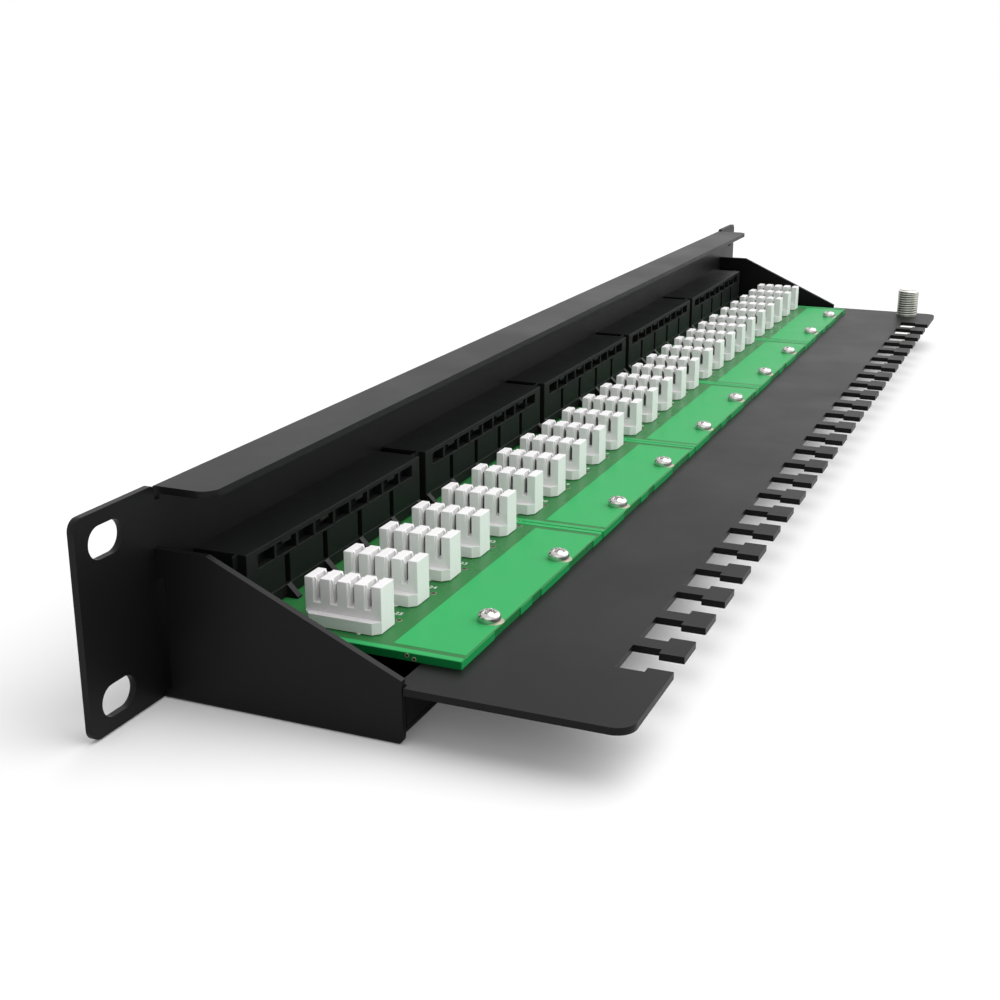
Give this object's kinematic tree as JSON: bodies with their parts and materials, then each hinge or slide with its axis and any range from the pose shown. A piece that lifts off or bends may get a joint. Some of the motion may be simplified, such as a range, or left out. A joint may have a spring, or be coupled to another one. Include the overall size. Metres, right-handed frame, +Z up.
{
  "type": "telephone patch panel",
  "caption": "One-unit rack panel with a row of modular phone sockets, punch-down blocks on boards behind them, a slotted wire tray and a ground stud.",
  "frame": {"origin": "middle of the rear face of the rack ears, the face that lies against the rack", "axes": "+X along the panel, away from the end with the ground stud; +Y rearward from the panel; +Z up"},
  "size_m": [0.4826, 0.0993, 0.0444],
  "materials": {
    "powder_coat": "fine-textured satin black powder coat",
    "housing_plastic": "smooth black moulded plastic",
    "contact_wire": "plated spring wire",
    "board_laminate": "green solder mask on laminate",
    "block_plastic": "white moulded plastic",
    "splice_metal": "tinned blade",
    "screw_steel": "bright zinc-plated steel"
  },
  "bodies": {
    "root": {"front_panel": "powder_coat", "rear_chassis": "powder_coat", "jack_housing_1": "housing_plastic", "jack_housing_2": "housing_plastic", "jack_housing_3": "housing_plastic", "jack_housing_4": "housing_plastic", "jack_housing_5": "housing_plastic", "jack_contacts_1": "contact_wire", "jack_contacts_2": "contact_wire", "jack_contacts_3": "contact_wire", "jack_contacts_4": "contact_wire", "jack_contacts_5": "contact_wire", "circuit_board_1": "board_laminate", "circuit_board_2": "board_laminate", "circuit_board_3": "board_laminate", "circuit_board_4": "board_laminate", "circuit_board_5": "board_laminate", "idc_block_01": "block_plastic", "idc_block_02": "block_plastic", "idc_block_03": "block_plastic", "idc_block_04": "block_plastic", "idc_block_05": "block_plastic", "idc_block_06": "block_plastic", "idc_block_07": "block_plastic", "idc_block_08": "block_plastic", "idc_block_09": "block_plastic", "idc_block_10": "block_plastic", "idc_block_11": "block_plastic", "idc_block_12": "block_plastic", "idc_block_13": "block_plastic", "idc_block_14": "block_plastic", "idc_block_15": "block_plastic", "idc_block_16": "block_plastic", "idc_block_17": "block_plastic", "idc_block_18": "block_plastic", "idc_block_19": "block_plastic", "idc_block_20": "block_plastic", "idc_block_21": "block_plastic", "idc_block_22": "block_plastic", "idc_block_23": "block_plastic", "idc_block_24": "block_plastic", "idc_block_25": "block_plastic", "idc_contacts_1": "splice_metal", "idc_contacts_2": "splice_metal", "idc_contacts_3": "splice_metal", "idc_contacts_4": "splice_metal", "idc_contacts_5": "splice_metal", "board_screws": "screw_steel", "ground_stud": "screw_steel"}
  },
  "joints": []
}
